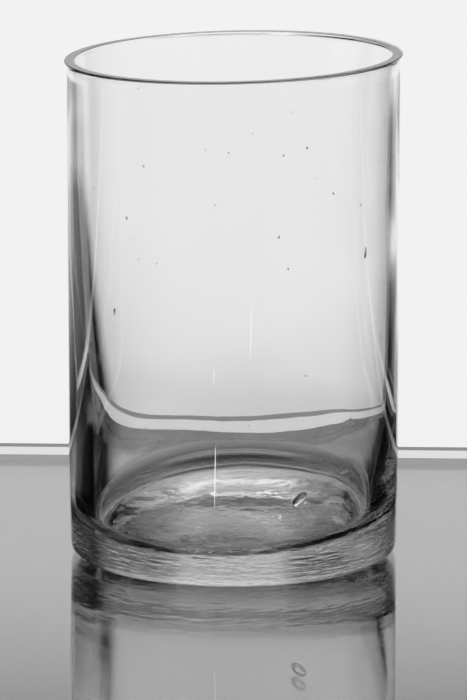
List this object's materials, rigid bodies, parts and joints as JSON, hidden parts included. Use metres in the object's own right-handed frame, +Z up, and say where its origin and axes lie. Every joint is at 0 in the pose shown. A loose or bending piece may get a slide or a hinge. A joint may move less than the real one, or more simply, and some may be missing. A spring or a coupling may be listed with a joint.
{
  "type": "cylinder vase",
  "caption": "Clear glass cylinder vase with a flat-cut polished lip, an open bore, a wall that thickens downwards and a heavy base with a rounded heel.",
  "frame": {"origin": "centre of the resting plane, on the vase's axis", "axes": "+Z up along the vase's axis, towards the mouth; +X and +Y are any two directions across it"},
  "size_m": [0.1016, 0.1016, 0.1524],
  "materials": {
    "clear_glass": "clear colourless soda-lime glass, fire-polished, with small seeds and faint tool marks"
  },
  "bodies": {
    "root": {"rim": "clear_glass", "wall": "clear_glass", "base": "clear_glass"}
  },
  "joints": []
}
